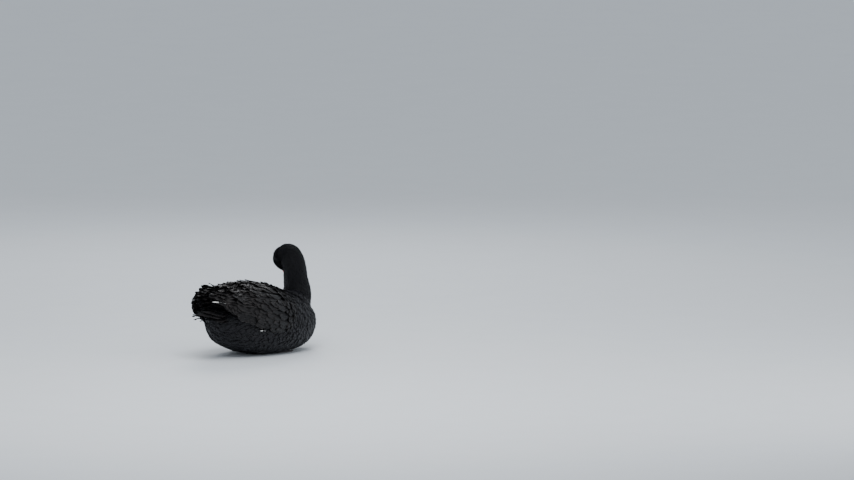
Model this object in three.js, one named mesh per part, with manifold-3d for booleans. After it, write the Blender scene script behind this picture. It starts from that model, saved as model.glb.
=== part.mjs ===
// A life-size black swan at rest on its belly, its neck drawn in and its head bowed over to its left.
// Millimetres: +X is the way the body faces, +Y its left side and +Z up. The origin is the middle of the
// flat under the belly. Feathered parts are smooth cores with their large feathers fused on as vanes.
import * as THREE from "three";
import { mergeVertices } from "three/addons/utils/BufferGeometryUtils.js";
import Module from "manifold-3d";

const wasm = await Module();
wasm.setup();

// Driving dimensions
const GAP = 0.3; // between parts that touch
const BREAST = 238; // front of the breast
const RUMP = -284; // back of the trunk
const BODY_HALF_WIDTH = 142;
const WING_FRONT = 158; // wrist of the folded wing
const WING_TIP = -392; // ends of the folded flight feathers
const TAIL_TIP = -386;
const HEAD_CENTRE = [188, 57.5, 301];
const HEAD_TURN = 18; // to the left of straight ahead, degrees
const HEAD_BOW = 48; // below level, degrees
const BILL_TIP = 110; // in front of the head's centre
const EYE_RADIUS = 7.2;

const DEG = Math.PI / 180;

// A smooth line through [x, value] pairs, flat beyond its ends.
function profile(pairs) {
  const slope = pairs.map((_, i) => {
    const a = pairs[Math.max(i - 1, 0)];
    const b = pairs[Math.min(i + 1, pairs.length - 1)];
    return (b[1] - a[1]) / (b[0] - a[0]);
  });
  return (x) => {
    if (x <= pairs[0][0]) return pairs[0][1];
    if (x >= pairs[pairs.length - 1][0]) return pairs[pairs.length - 1][1];
    const i = pairs.findIndex((p) => p[0] > x) - 1;
    const span = pairs[i + 1][0] - pairs[i][0];
    const t = (x - pairs[i][0]) / span;
    const s = t * t * (3 - 2 * t);
    const bend = slope[i] * span * t * (1 - t) ** 2 - slope[i + 1] * span * t * t * (1 - t);
    return pairs[i][1] * (1 - s) + pairs[i + 1][1] * s + bend;
  };
}

// Rounded forms along X: half widths, middle heights, and reaches up and down, each a profile of x
const TRUNK = {
  back: RUMP,
  front: BREAST,
  width: profile([[RUMP, 108], [-190, 128], [-80, 140], [20, BODY_HALF_WIDTH], [130, 136], [BREAST, 116]]),
  middle: profile([[RUMP, 140], [-180, 124], [-80, 112], [30, 106], [BREAST, 96]]),
  up: profile([[RUMP, 84], [-180, 108], [-60, 122], [50, 117], [130, 108], [BREAST, 92]]),
  down: profile([[RUMP, 104], [-180, 116], [-60, 120], [60, 118], [BREAST, 104]]),
  fullness: 0.74,
  square: 0.74,
};
const WING = {
  back: WING_TIP,
  front: WING_FRONT,
  width: profile([[WING_TIP, 46], [-330, 76], [-250, 108], [-120, 146], [20, 155], [WING_FRONT, 150]]),
  middle: profile([[WING_TIP, 200], [-300, 184], [-180, 150], [-60, 118], [40, 110], [WING_FRONT, 118]]),
  up: profile([[WING_TIP, 44], [-300, 65], [-180, 104], [-60, 139], [40, 130], [WING_FRONT, 100]]),
  down: profile([[WING_TIP, 40], [-300, 58], [-180, 90], [0, 110], [WING_FRONT, 104]]),
  fullness: 0.58,
  square: 1,
};
const HEAD = {
  back: -44,
  front: 50,
  width: profile([[-44, 32], [-6, 36], [16, 33], [34, 24], [50, 18]]),
  middle: profile([[-44, -1], [0, 0], [30, -3], [50, -5]]),
  up: profile([[-44, 36], [-6, 39.5], [18, 35], [36, 27], [50, 20]]),
  down: profile([[-44, 33], [-6, 35], [18, 32], [36, 25], [50, 20]]),
  fullness: 0.9,
  square: 1,
};

// A point of a form: along runs from -1 at its back to 1 at its front, and angle from 0 at its right side
// through 90 degrees at the top. grow moves the point out. A square under 1 fills out the lower corners.
function formPoint(form, along, angle, grow = 0) {
  const back = form.back - grow;
  const front = form.front + grow;
  const x = (back + front) / 2 + (along * (front - back)) / 2;
  const ring = Math.pow(Math.max(1 - along * along, 0), form.fullness / 2);
  const square = Math.sin(angle) > 0 ? 1 : form.square;
  const c = Math.sign(Math.cos(angle)) * Math.abs(Math.cos(angle)) ** square;
  const s = Math.sign(Math.sin(angle)) * Math.abs(Math.sin(angle)) ** square;
  const reach = s > 0 ? form.up(x) : form.down(x);
  return new THREE.Vector3(
    x,
    -(form.width(x) + grow) * ring * c,
    form.middle(x) + (reach + grow) * ring * s,
  );
}

// A geometry with its positions alone, its shared corners merged
function bare(geometry) {
  const g = geometry.clone();
  for (const name of Object.keys(g.attributes)) if (name !== "position") g.deleteAttribute(name);
  return mergeVertices(g, 1e-4);
}

// Moves each corner of a geometry
function shaped(geometry, move) {
  const g = bare(geometry);
  const p = g.getAttribute("position");
  const v = new THREE.Vector3();
  for (let i = 0; i < p.count; i++) {
    const to = move(v.fromBufferAttribute(p, i).clone());
    p.setXYZ(i, to.x, to.y, to.z);
  }
  return g;
}

// Closed geometry to a solid, and a solid's largest closed surface back to geometry
function solid(geometry) {
  const g = bare(geometry);
  return new wasm.Manifold(
    new wasm.Mesh({
      numProp: 3,
      vertProperties: new Float32Array(g.getAttribute("position").array),
      triVerts: new Uint32Array(g.index.array),
    }),
  );
}
function largest(made) {
  return made.decompose().reduce((a, b) => (b.volume() > a.volume() ? b : a));
}
function geometryOf(made) {
  const mesh = largest(made).getMesh();
  const g = new THREE.BufferGeometry();
  g.setAttribute("position", new THREE.BufferAttribute(mesh.vertProperties, 3));
  g.setIndex(new THREE.BufferAttribute(mesh.triVerts, 1));
  g.computeVertexNormals();
  return g;
}
const fused = (pieces) => pieces.reduce((a, b) => a.add(b));

// A form as a solid
function formSolid(form, sides, rings, grow = 0) {
  return solid(
    shaped(new THREE.SphereGeometry(1, sides, rings), (v) =>
      formPoint(form, THREE.MathUtils.clamp(v.y, -1, 1), Math.atan2(v.z, v.x), grow),
    ),
  );
}

// A round limb along a curve between two shares of its length, its radius a function of the share
const FRAMES = 160;
function limb(curve, from, to, radius, steps, sides = 22, grow = 0) {
  const frames = curve.computeFrenetFrames(FRAMES);
  return solid(
    shaped(new THREE.CylinderGeometry(1, 1, 1, sides, steps), (v) => {
      const share = from + (to - from) * (v.y + 0.5);
      const k = Math.round(THREE.MathUtils.clamp(share, 0, 1) * FRAMES);
      const centre = curve.getPointAt(THREE.MathUtils.clamp(share, 0, 1));
      const side = frames.normals[k];
      const tangent = frames.tangents[k];
      const up = side.clone().cross(tangent);
      const r = radius(share) + grow;
      return centre.addScaledVector(side, v.x * r).addScaledVector(up, v.z * r);
    }),
  );
}
const curveOf = (points) => new THREE.CatmullRomCurve3(points.map((p) => new THREE.Vector3(...p)));
const box = (low, high) =>
  solid(
    new THREE.BoxGeometry(high[0] - low[0], high[1] - low[1], high[2] - low[2]).translate(
      (low[0] + high[0]) / 2,
      (low[1] + high[1]) / 2,
      (low[2] + high[2]) / 2,
    ),
  );
const mirrored = (made) => made.mirror([0, 1, 0]);

// Even chances from a seed, in -1 to 1
function chances(seed) {
  let state = seed;
  return () => {
    state = (Math.imul(state, 1664525) + 1013904223) >>> 0;
    return state / 2147483648 - 1;
  };
}

// A thin closed plate: place(t, v) gives the middle of the plate and the way out of it, for t from 0 at the
// root to 1 at the tip and v from -1 to 1 across. Both faces are split into the same triangles.
const VANE_THICKNESS = 1;
function plate(steps, place) {
  const ACROSS = 2;
  const grid = new THREE.PlaneGeometry(1, 1, steps, ACROSS);
  const at = grid.getAttribute("position");
  const upper = [];
  const lower = [];
  for (let i = 0; i < at.count; i++) {
    const { middle, out } = place(at.getX(i) + 0.5, 2 * at.getY(i));
    upper.push(...middle.clone().addScaledVector(out, VANE_THICKNESS / 2));
    lower.push(...middle.clone().addScaledVector(out, -VANE_THICKNESS / 2));
  }
  const faces = [];
  for (let i = 0; i < grid.index.count; i += 3) {
    const [a, b, c] = [0, 1, 2].map((k) => grid.index.getX(i + k));
    faces.push(a, b, c, a + at.count, c + at.count, b + at.count);
  }
  const column = (i) => i * (steps + 1);
  const rim = [
    ...Array.from({ length: ACROSS }, (_, i) => column(i)),
    ...Array.from({ length: steps }, (_, i) => column(ACROSS) + i),
    ...Array.from({ length: ACROSS }, (_, i) => column(ACROSS - i) + steps),
    ...Array.from({ length: steps }, (_, i) => steps - i),
  ];
  rim.forEach((p, i) => {
    const q = rim[(i + 1) % rim.length];
    faces.push(q, p, p + at.count, q, p + at.count, q + at.count);
  });
  const made = new THREE.BufferGeometry();
  made.setAttribute("position", new THREE.Float32BufferAttribute([...upper, ...lower], 3));
  made.setIndex(faces);
  return solid(made);
}

// A feather laid on a guide surface from its root to its tip. guide(x, s) is a point of the surface. The root
// is sunk in, the tip stands off by the rise, curl bends the last part up, twist tucks its upper edge under
// the feather above, and ruffle waves the free lower edge.
const ROOT_SINK = 6;
const halfWidth = profile([[0, 0.4], [0.3, 0.8], [0.62, 1], [0.85, 0.86], [1, 0.42]]);
function feather(guide, root, tip, shape) {
  const spot = (t) => guide(root[0] + (tip[0] - root[0]) * t, root[1] + (tip[1] - root[1]) * t);
  const round = shape.width * 0.3;
  const length = spot(0).distanceTo(spot(1));
  return plate(shape.steps, (t, v) => {
    const back = t - (v * v * round * Math.max(t - 0.5, 0) * 2) / length;
    const middle = spot(back);
    const run = spot(back + 0.02).sub(spot(back - 0.02)).normalize();
    const x = root[0] + (tip[0] - root[0]) * back;
    const s = root[1] + (tip[1] - root[1]) * back;
    const out = guide(x - 1, s).sub(middle).cross(guide(x, s + 1).sub(middle)).normalize();
    const side = out.clone().cross(run).normalize();
    const reach = (v * shape.width * halfWidth(t)) / 2;
    const free = Math.max(-v, 0) * THREE.MathUtils.smoothstep(t, 0.3, 0.7);
    const wave = shape.ruffle * free * Math.sin(t * shape.steps * 2.1 + shape.phase);
    const stand = -ROOT_SINK + (ROOT_SINK + shape.rise) * t ** 0.8 + shape.curl * t ** 4;
    const lift = stand - reach * shape.twist + wave;
    middle.addScaledVector(side, reach).addScaledVector(out, lift);
    return { middle, out };
  });
}

// A tier of feathers side by side: the roots and tips run from the first to the last
function tier(guide, row, chance) {
  return Array.from({ length: row.count }, (_, i) => {
    const k = row.count > 1 ? i / (row.count - 1) : 0;
    const along = (ends) => ends[0] + (ends[1] - ends[0]) * k;
    const bow = (row.bow ?? 0) * 4 * k * (1 - k);
    const jitter = row.jitter ?? 1;
    return feather(
      guide,
      [along(row.rootX) - bow * 0.5, along(row.rootS)],
      [along(row.tipX) - bow + 5 * jitter * chance(), along(row.tipS) + jitter * chance()],
      {
        steps: row.steps,
        width: along(row.width) * (1 + 0.06 * chance()),
        rise: row.rise + 0.8 * chance(),
        curl: row.curl * (1 + 0.35 * chance()),
        twist: row.twist,
        ruffle: row.ruffle,
        phase: 3 * chance(),
      },
    );
  });
}

// The floor side is cut flat
const FLOOR = 0;
const onFloor = (made) => made.trimByPlane([0, 0, 1], FLOOR);

// Legs folded under the belly, each with three webbed toes laid flat
const LEG_POINTS = [[-104, 52, 17], [-70, 54, 11], [-30, 56, 8]];
const LEG_RADIUS = profile([[0, 11], [0.2, 8], [0.6, 6.5], [1, 8]]);
const LEG_CUT = 0.86; // share of the leg where the foot takes over
const TOES = [
  { turn: -15, length: 74 },
  { turn: 2, length: 92 },
  { turn: 19, length: 84 },
];
const TOE_ROOT = [-28, 56];
const TOE_RADIUS = profile([[0, 5.4], [0.84, 3.2], [0.88, 2.6], [1, 0.9]]); // the claw is the last tenth
const WEB_THICKNESS = 2;
const legCurve = curveOf(LEG_POINTS);
const legSolid = (grow, from = 0, to = 1) => limb(legCurve, from, to, LEG_RADIUS, 5, 10, grow);
const leg = onFloor(legSolid(0, 0, LEG_CUT - 0.004));
const legRoom = legSolid(GAP);
const toeEnd = (toe, reach = 1) => [
  TOE_ROOT[0] + Math.cos(toe.turn * DEG) * toe.length * reach,
  TOE_ROOT[1] + Math.sin(toe.turn * DEG) * toe.length * reach,
];
function toeSolid(toe) {
  const end = toeEnd(toe, 1.06);
  const path = curveOf([
    [TOE_ROOT[0] - 4, TOE_ROOT[1], 6],
    [(TOE_ROOT[0] + end[0]) / 2, (TOE_ROOT[1] + end[1]) / 2, 3.4],
    [end[0], end[1], 2],
  ]);
  return limb(path, 0, 1, TOE_RADIUS, 6, 7);
}
function webOutline(spread) {
  const shape = new THREE.Shape();
  const tips = TOES.map((toe) => toeEnd(toe, 0.9 + spread));
  const heel = [TOE_ROOT[0] - 6 - 60 * spread, TOE_ROOT[1]];
  shape.moveTo(heel[0], heel[1] - 4 - 40 * spread);
  shape.lineTo(tips[0][0], tips[0][1] - 40 * spread);
  for (let i = 1; i < tips.length; i++) {
    const dip = 0.8 + spread;
    const mid = [(tips[i - 1][0] + tips[i][0]) / 2, (tips[i - 1][1] + tips[i][1]) / 2];
    shape.quadraticCurveTo(
      TOE_ROOT[0] + (mid[0] - TOE_ROOT[0]) * dip,
      TOE_ROOT[1] + (mid[1] - TOE_ROOT[1]) * dip,
      tips[i][0],
      tips[i][1] + 40 * spread,
    );
  }
  shape.lineTo(heel[0], heel[1] + 4 + 40 * spread);
  shape.closePath();
  return shape;
}
const plateOf = (shape, low, high) =>
  solid(
    new THREE.ExtrudeGeometry(shape, {
      depth: high - low,
      bevelEnabled: false,
      curveSegments: 4,
    }).translate(0, 0, low),
  );
const foot = onFloor(
  fused([
    legSolid(0, LEG_CUT, 1),
    plateOf(webOutline(0), 0.2, 0.2 + WEB_THICKNESS),
    ...TOES.map(toeSolid),
  ]),
);
const footRoom = plateOf(webOutline(0.24), -1, 12);

// Trunk, with room for the tucked legs and feet
const trunkWhole = formSolid(TRUNK, 32, 24);
const trunk = onFloor(
  [legRoom, footRoom].reduce((made, room) => made.subtract(room).subtract(mirrored(room)), trunkWhole),
);
const trunkRoom = formSolid(TRUNK, 32, 24, GAP + 0.1);

// Neck: one round limb from the breast up and over to the back of the head, parted in lengths
const headTurn = HEAD_TURN * DEG;
const headBow = HEAD_BOW * DEG;
const headAxis = new THREE.Vector3(
  Math.cos(headTurn) * Math.cos(headBow),
  Math.sin(headTurn) * Math.cos(headBow),
  -Math.sin(headBow),
);
const headCentre = new THREE.Vector3(...HEAD_CENTRE);
const neckCurve = curveOf([
  [86, 0, 108],
  [146, 0, 138],
  [188, 0, 186],
  [181, 0, 238],
  [173, 1, 284],
  [172, 20, 317],
  headCentre.clone().addScaledVector(headAxis, -16).toArray(),
]);
const NECK_RADIUS = profile([
  [0, 84],
  [0.22, 76],
  [0.4, 54],
  [0.56, 43],
  [0.75, 40.5],
  [0.88, 39],
  [0.95, 35.4],
  [1, 27],
]);
const NECK_CUTS = [0, 0.5, 0.66, 0.8, 1];
const neckLength = neckCurve.getLength();
const neckPiece = (from, to, steps, grow = 0) =>
  limb(neckCurve, from - grow / neckLength, to + grow / neckLength, NECK_RADIUS, steps, 20, grow);
const shareGap = GAP / neckLength;
const neckLower = neckPiece(NECK_CUTS[0], NECK_CUTS[1], 10).subtract(trunkRoom);
const neckMiddle = neckPiece(NECK_CUTS[1] + shareGap, NECK_CUTS[2], 5);
const neckUpper = neckPiece(NECK_CUTS[2] + shareGap, NECK_CUTS[3], 5);
const neckEnd = neckPiece(NECK_CUTS[3] + shareGap, NECK_CUTS[4], 7);

// Head, in its own frame: +X along the bill and +Z to the crown
const headUp = new THREE.Vector3(0, 0, 1).addScaledVector(headAxis, -headAxis.z).normalize();
const headLeft = headUp.clone().cross(headAxis);
const headFrame = new THREE.Matrix4().makeBasis(headAxis, headLeft, headUp).setPosition(headCentre);
const intoPlace = (made) => made.transform(headFrame.elements);
const EYE = [13, 25.8, 8];
const eyeBall = (grow) =>
  solid(new THREE.SphereGeometry(EYE_RADIUS + grow, 12, 8).translate(EYE[0], EYE[1], EYE[2]));
const lids = solid(
  new THREE.TorusGeometry(EYE_RADIUS - 0.6, 1.5, 5, 14)
    .rotateX(Math.PI / 2)
    .rotateZ(-0.16)
    .translate(EYE[0] + 0.5, EYE[1] + 4.4, EYE[2]),
);

// Bill: upper and lower halves, their profiles read along the head's X
const UPPER_BILL = {
  back: 26,
  front: BILL_TIP,
  width: profile([[26, 13.5], [50, 12.2], [80, 12], [98, 13], [BILL_TIP, 11]]),
  middle: profile([[26, -6], [60, -7.5], [96, -10.5], [BILL_TIP, -13]]),
  up: profile([[26, 20], [44, 17], [62, 12], [84, 8.6], [BILL_TIP, 7]]),
  down: profile([[26, 3], [96, 3], [BILL_TIP, 4.5]]),
  fullness: 0.5,
  square: 1,
};
const LOWER_BILL = {
  back: 22,
  front: BILL_TIP - 6,
  width: profile([[22, 12.4], [60, 10.6], [96, 10.8], [104, 9]]),
  middle: profile([[22, -10], [60, -12], [104, -14.5]]),
  up: profile([[22, 3], [104, 2]]),
  down: profile([[22, 10], [60, 7], [104, 3.4]]),
  fullness: 0.5,
  square: 1,
};
const nostril = solid(
  new THREE.SphereGeometry(1, 10, 6).scale(5.2, 3, 2).rotateY(0.12).translate(58, 9.6, 1.6),
);
const upperWhole = formSolid(UPPER_BILL, 16, 12);
const upperRoom = formSolid(UPPER_BILL, 16, 12, GAP);
const lowerWhole = formSolid(LOWER_BILL, 14, 10).subtract(upperRoom);
const lowerRoom = formSolid(LOWER_BILL, 14, 10, GAP);
const headCore = formSolid(HEAD, 22, 16);
const HEAD_SEAT = 30; // the bill's halves reach back to here inside the head
const billSeat = box([HEAD_SEAT, -40, -60], [HEAD_SEAT + 200, 40, 60]);
const upperBill = upperWhole.intersect(billSeat).subtract(nostril).subtract(mirrored(nostril));
const lowerBill = lowerWhole.intersect(billSeat);
const seatRoom = box([HEAD_SEAT - GAP, -40, -60], [HEAD_SEAT + 200, 40, 60]);
const eyeRooms = [eyeBall(GAP), mirrored(eyeBall(GAP))];
const headLocal = [...eyeRooms, upperRoom.intersect(seatRoom), lowerRoom.intersect(seatRoom)].reduce(
  (made, room) => made.subtract(room),
  fused([headCore, lids, mirrored(lids)]),
);
const neckRoom = neckPiece(NECK_CUTS[2], NECK_CUTS[3], 8, GAP);
const napeRooms = [upperRoom, ...eyeRooms].map(intoPlace);
const nape = napeRooms.reduce((made, room) => made.subtract(room), neckEnd);
const head = intoPlace(headLocal)
  .add(nape)
  .subtract(neckRoom)
  .subtract(neckPiece(NECK_CUTS[1], NECK_CUTS[2], 5, GAP));

// Tail: a core and a fan of feathers, the middle pair uppermost, with coverts over their roots. On the guide
// surface s is the distance to the right.
const tailForm = {
  back: TAIL_TIP - 6,
  front: -225,
  width: profile([[TAIL_TIP, 76], [-330, 74], [-225, 46]]),
  middle: profile([[TAIL_TIP, 163], [-330, 163], [-225, 168]]),
  up: profile([[TAIL_TIP, 16], [-330, 17], [-225, 20]]),
  down: profile([[TAIL_TIP, 16], [-330, 18], [-225, 30]]),
  fullness: 0.3,
  square: 1,
};
const TAIL_CORE = { ...tailForm, back: -306, width: profile([[-306, 38], [-225, 40]]), fullness: 0.5 };
const TAIL_PAIRS = 6;
const VANE_STEP = 1.4; // from one vane down to the next
const TAIL_COVERTS = {
  count: 5, rootX: [-246, -246], rootS: [-26, 26], tipX: [-322, -322], tipS: [-40, 40], width: [27, 27],
  rise: 3, curl: 1, bow: 14, ruffle: 0, twist: 0.2, steps: 2,
};
const tailGuide = (x, s) => new THREE.Vector3(x, -s, 166 - 0.0022 * s * s + 0.02 * (x + 300));
function tailFeathers(chance) {
  const made = [];
  for (let k = 0; k < TAIL_PAIRS; k++) {
    for (const way of [-1, 1]) {
      const spread = way * (k + 0.5);
      const depth = VANE_STEP * (k > 0 || way > 0 ? k + 1 : 0);
      made.push(
        feather(
          (x, s) => tailGuide(x, s).add(new THREE.Vector3(0, 0, -depth)),
          [-262, spread * 4.6],
          [TAIL_TIP + 5.2 * k + 0.4 * k * k + 2 * chance(), spread * 9.6],
          { steps: 2, width: 25, rise: 0, curl: 0, twist: 0, ruffle: 0, phase: 0 },
        ),
      );
    }
  }
  const overGuide = (x, s) => tailGuide(x, s).add(new THREE.Vector3(0, 0, 3));
  made.push(...tier(overGuide, TAIL_COVERTS, chance));
  return made;
}
const tailRoom = formSolid(tailForm, 22, 12, GAP + 0.2);
const tailCore = formSolid(TAIL_CORE, 14, 6, -8);
const tail = fused([tailCore, ...tailFeathers(chances(11))])
  .intersect(formSolid(tailForm, 22, 12))
  .subtract(trunkRoom);

// Folded wings: a core as far as the roots of the long feathers, and tiers of vanes that lap backwards. On
// the guide surface s is the angle up from the side, in degrees.
const WING_CORE_END = -214;
const WING_LAY = { ...WING, back: WING_TIP - 90 };
const VANE_DEPTH = 7; // from the outline down to the guide
const wingGuide = (x, s) =>
  formPoint(
    WING_LAY,
    (2 * x - WING_LAY.back - WING_LAY.front) / (WING_LAY.front - WING_LAY.back),
    (180 - s) * DEG,
    -VANE_DEPTH,
  );
const SMOOTH = { ruffle: 0, curl: 1, twist: 0.2, steps: 3, rise: 6 };
const RUFFLED = { ruffle: 3.4, twist: 0.23 };
const FORE_COVERTS = {
  count: 8, rootX: [36, 44], rootS: [-8, 80], tipX: [-50, -44], tipS: [-10, 80], width: [35, 35], ...SMOOTH,
};
const HIND_COVERTS = {
  count: 8, rootX: [-24, -20], rootS: [-12, 82], tipX: [-126, -112], tipS: [-14, 82], width: [37, 37],
  ...SMOOTH,
};
const SECONDARIES = {
  count: 8, rootX: [-98, -90], rootS: [-17, 82], tipX: [-226, -214], tipS: [-20, 80], width: [37, 37],
  rise: 6, curl: 4, steps: 3, ...RUFFLED,
};
const INNER_SECONDARIES = {
  count: 7, rootX: [-176, -168], rootS: [-18, 84], tipX: [-290, -302], tipS: [-18, 78], width: [35, 38],
  rise: 6, curl: 7, bow: 14, steps: 4, ...RUFFLED,
};
const TERTIALS = {
  count: 5, rootX: [-196, -196], rootS: [6, 80], tipX: [-322, -372], tipS: [8, 72], width: [34, 37],
  rise: 0, curl: 11, steps: 5, ...RUFFLED,
};
// The long white flight feathers lie low under the others
const QUILLS = {
  count: 4, rootX: [-190, -196], rootS: [-10, 22], tipX: [-352, WING_TIP + 4], tipS: [-4, 30],
  width: [22, 25], rise: -9, curl: 0, ruffle: 0, twist: 0.22, steps: 3, jitter: 0.4,
};
const WING_TIERS = [FORE_COVERTS, HIND_COVERTS, SECONDARIES, INNER_SECONDARIES, TERTIALS, QUILLS];
const beside = box([WING_TIP - 40, GAP, -20], [WING_FRONT + 40, 220, 320]);
const coreSpan = box([WING_CORE_END, GAP, -20], [WING_FRONT + 40, 220, 320]);
const lowerEdge = (made) => made.trimByPlane([0.12, 0, 1], 90);
const neckBase = neckPiece(NECK_CUTS[0], NECK_CUTS[1], 10, GAP);
function wingSolid(seed) {
  const chance = chances(seed);
  const core = formSolid(WING, 28, 22, -VANE_DEPTH - 1).intersect(coreSpan);
  const vanes = WING_TIERS.flatMap((row) => tier(wingGuide, row, chance));
  return fused([lowerEdge(core), ...vanes])
    .intersect(beside)
    .subtract(trunkRoom)
    .subtract(tailRoom)
    .subtract(neckBase);
}

// Colours of the finishes
const finish = (color, roughness) => new THREE.MeshStandardMaterial({ color, roughness, metalness: 0 });
const BLACK_FEATHER = finish(0x17171a, 0.7);
const RED_BILL = finish(0xb3241c, 0.4);
const EYE_RED = finish(0x7c1410, 0.1);
const BLACK_SKIN = finish(0x1d1d1e, 0.6);

const swan = new THREE.Group();
function place(name, made, material) {
  const mesh = new THREE.Mesh(geometryOf(made), material);
  mesh.name = name;
  swan.add(mesh);
}
place("torso", trunk, BLACK_FEATHER);
place("neck_lower", neckLower, BLACK_FEATHER);
place("neck_middle", neckMiddle, BLACK_FEATHER);
place("neck_upper", neckUpper, BLACK_FEATHER);
place("head", head, BLACK_FEATHER);
place("bill_upper", intoPlace(upperBill), RED_BILL);
place("bill_lower", intoPlace(lowerBill), RED_BILL);
place("eye_left", intoPlace(eyeBall(0)), EYE_RED);
place("eye_right", intoPlace(mirrored(eyeBall(0))), EYE_RED);
place("wing_left", wingSolid(3), BLACK_FEATHER);
place("wing_right", mirrored(wingSolid(7)), BLACK_FEATHER);
place("tail", tail, BLACK_FEATHER);
place("leg_left", leg, BLACK_SKIN);
place("leg_right", mirrored(leg), BLACK_SKIN);
place("foot_left", foot, BLACK_SKIN);
place("foot_right", mirrored(foot), BLACK_SKIN);

export default swan;
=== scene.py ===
# A black swan at rest on its belly, its neck drawn back and its head bowed over to its left.
# Metres, +X the way the body faces, +Y its left side, +Z up. Tables of sizes are in millimetres.
import math
from itertools import product

import bpy
import numpy as np
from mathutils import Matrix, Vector
from mathutils.bvhtree import BVHTree


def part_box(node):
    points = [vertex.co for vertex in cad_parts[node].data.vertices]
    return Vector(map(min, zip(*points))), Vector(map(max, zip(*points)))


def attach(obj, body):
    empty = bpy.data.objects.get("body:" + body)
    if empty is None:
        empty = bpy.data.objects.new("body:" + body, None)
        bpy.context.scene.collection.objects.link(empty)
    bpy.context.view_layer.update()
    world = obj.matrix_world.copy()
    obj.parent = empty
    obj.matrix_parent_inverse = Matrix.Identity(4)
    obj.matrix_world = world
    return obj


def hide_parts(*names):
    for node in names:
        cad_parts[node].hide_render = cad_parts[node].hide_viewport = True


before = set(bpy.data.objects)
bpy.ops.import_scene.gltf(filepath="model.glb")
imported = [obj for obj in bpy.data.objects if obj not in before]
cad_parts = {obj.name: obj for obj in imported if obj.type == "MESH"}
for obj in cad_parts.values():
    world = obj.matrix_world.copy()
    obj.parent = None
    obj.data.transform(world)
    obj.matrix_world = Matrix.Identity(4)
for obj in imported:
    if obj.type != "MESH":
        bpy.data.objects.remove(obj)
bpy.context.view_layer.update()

MM = 0.001
BODY = "root"

# Driving dimensions, in millimetres
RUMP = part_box("torso")[0][0] / MM
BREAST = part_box("torso")[1][0] / MM
BODY_HALF_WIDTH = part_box("torso")[1][1] / MM
TAIL_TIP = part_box("tail")[0][0] / MM
WING_TIP = -392
WING_FRONT = 158
HEAD_CENTRE = np.array([188.0, 57.5, 301.0])
HEAD_TURN = math.radians(18)
HEAD_BOW = math.radians(48)
BILL_TIP = 110
EYE = np.array([13.0, 25.8, 8.0])
EYE_RADIUS = 7.2
BODY_COAT = 8
NECK_COAT = 4
HEAD_COAT = 2
WING_COAT = 15
STUMP_BACK = -222
SKIN_CELL = 2.5
SKIN_LOW = 1.6
FOOT_HOLLOW = 14


# Smooth lines and rounded forms

def profile(pairs):
    """A smooth line through (x, value) pairs, flat beyond its ends."""
    x, y = np.array(pairs, float).T
    slope = np.gradient(y, x)
    slope[1:-1] = (y[2:] - y[:-2]) / (x[2:] - x[:-2])

    def value(at):
        at = np.clip(at, x[0], x[-1])
        i = np.clip(np.searchsorted(x, at, side="right") - 1, 0, len(x) - 2)
        span = x[i + 1] - x[i]
        t = (at - x[i]) / span
        s = t * t * (3 - 2 * t)
        bend = slope[i] * span * t * (1 - t) ** 2 - slope[i + 1] * span * t * t * (1 - t)
        return y[i] * (1 - s) + y[i + 1] * s + bend

    return value


def smooth(low, high, x):
    t = np.clip((x - low) / (high - low), 0, 1)
    return t * t * (3 - 2 * t)


def unit(v):
    return v / np.maximum(np.linalg.norm(v, axis=-1, keepdims=True), 1e-9)


TRUNK = dict(
    back=RUMP, front=BREAST, fullness=0.74, square=0.74,
    width=profile([(RUMP, 108), (-190, 128), (-80, 140), (20, BODY_HALF_WIDTH), (130, 136), (BREAST, 116)]),
    middle=profile([(RUMP, 140), (-180, 124), (-80, 112), (30, 106), (BREAST, 96)]),
    up=profile([(RUMP, 84), (-180, 108), (-60, 122), (50, 117), (130, 108), (BREAST, 92)]),
    down=profile([(RUMP, 104), (-180, 116), (-60, 120), (60, 118), (BREAST, 104)]),
)
WING = dict(
    back=WING_TIP, front=WING_FRONT, fullness=0.58, square=1,
    width=profile([(WING_TIP, 46), (-330, 76), (-250, 108), (-120, 146), (20, 155), (WING_FRONT, 150)]),
    middle=profile([(WING_TIP, 200), (-300, 184), (-180, 150), (-60, 118), (40, 110), (WING_FRONT, 118)]),
    up=profile([(WING_TIP, 44), (-300, 65), (-180, 104), (-60, 139), (40, 130), (WING_FRONT, 100)]),
    down=profile([(WING_TIP, 40), (-300, 58), (-180, 90), (0, 110), (WING_FRONT, 104)]),
)
HEAD = dict(
    back=-44, front=50, fullness=0.9, square=1,
    width=profile([(-44, 32), (-6, 36), (16, 33), (34, 24), (50, 18)]),
    middle=profile([(-44, -1), (0, 0), (30, -3), (50, -5)]),
    up=profile([(-44, 36), (-6, 39.5), (18, 35), (36, 27), (50, 20)]),
    down=profile([(-44, 33), (-6, 35), (18, 32), (36, 25), (50, 20)]),
)
UPPER_BILL = dict(
    back=8, front=BILL_TIP, fullness=0.5, square=1,
    width=profile([
        (8, 16), (26, 19.2), (34, 17.4), (42, 15), (51, 13), (62, 12), (80, 12), (98, 13), (BILL_TIP, 11.4),
    ]),
    middle=profile([(8, -5), (30, -5.6), (60, -7.5), (96, -10.5), (BILL_TIP, -13)]),
    up=profile([
        (8, 20), (26, 23.4), (34, 21), (44, 17), (54, 13.6), (64, 11.4), (84, 8.8), (BILL_TIP, 7.4),
    ]),
    down=profile([(8, 3.6), (96, 3), (BILL_TIP, 4.5)]),
)
LOWER_BILL = dict(
    back=6, front=BILL_TIP - 6, fullness=0.5, square=1,
    width=profile([(6, 14), (26, 17.8), (35, 15.8), (45, 12.8), (56, 11), (96, 10.8), (104, 9.2)]),
    middle=profile([(6, -9.6), (30, -10.2), (60, -12), (104, -14.5)]),
    up=profile([(6, 2.6), (104, 2)]),
    down=profile([(6, 11), (26, 13.6), (40, 11.6), (52, 8.4), (66, 6.6), (104, 3.5)]),
)


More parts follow.
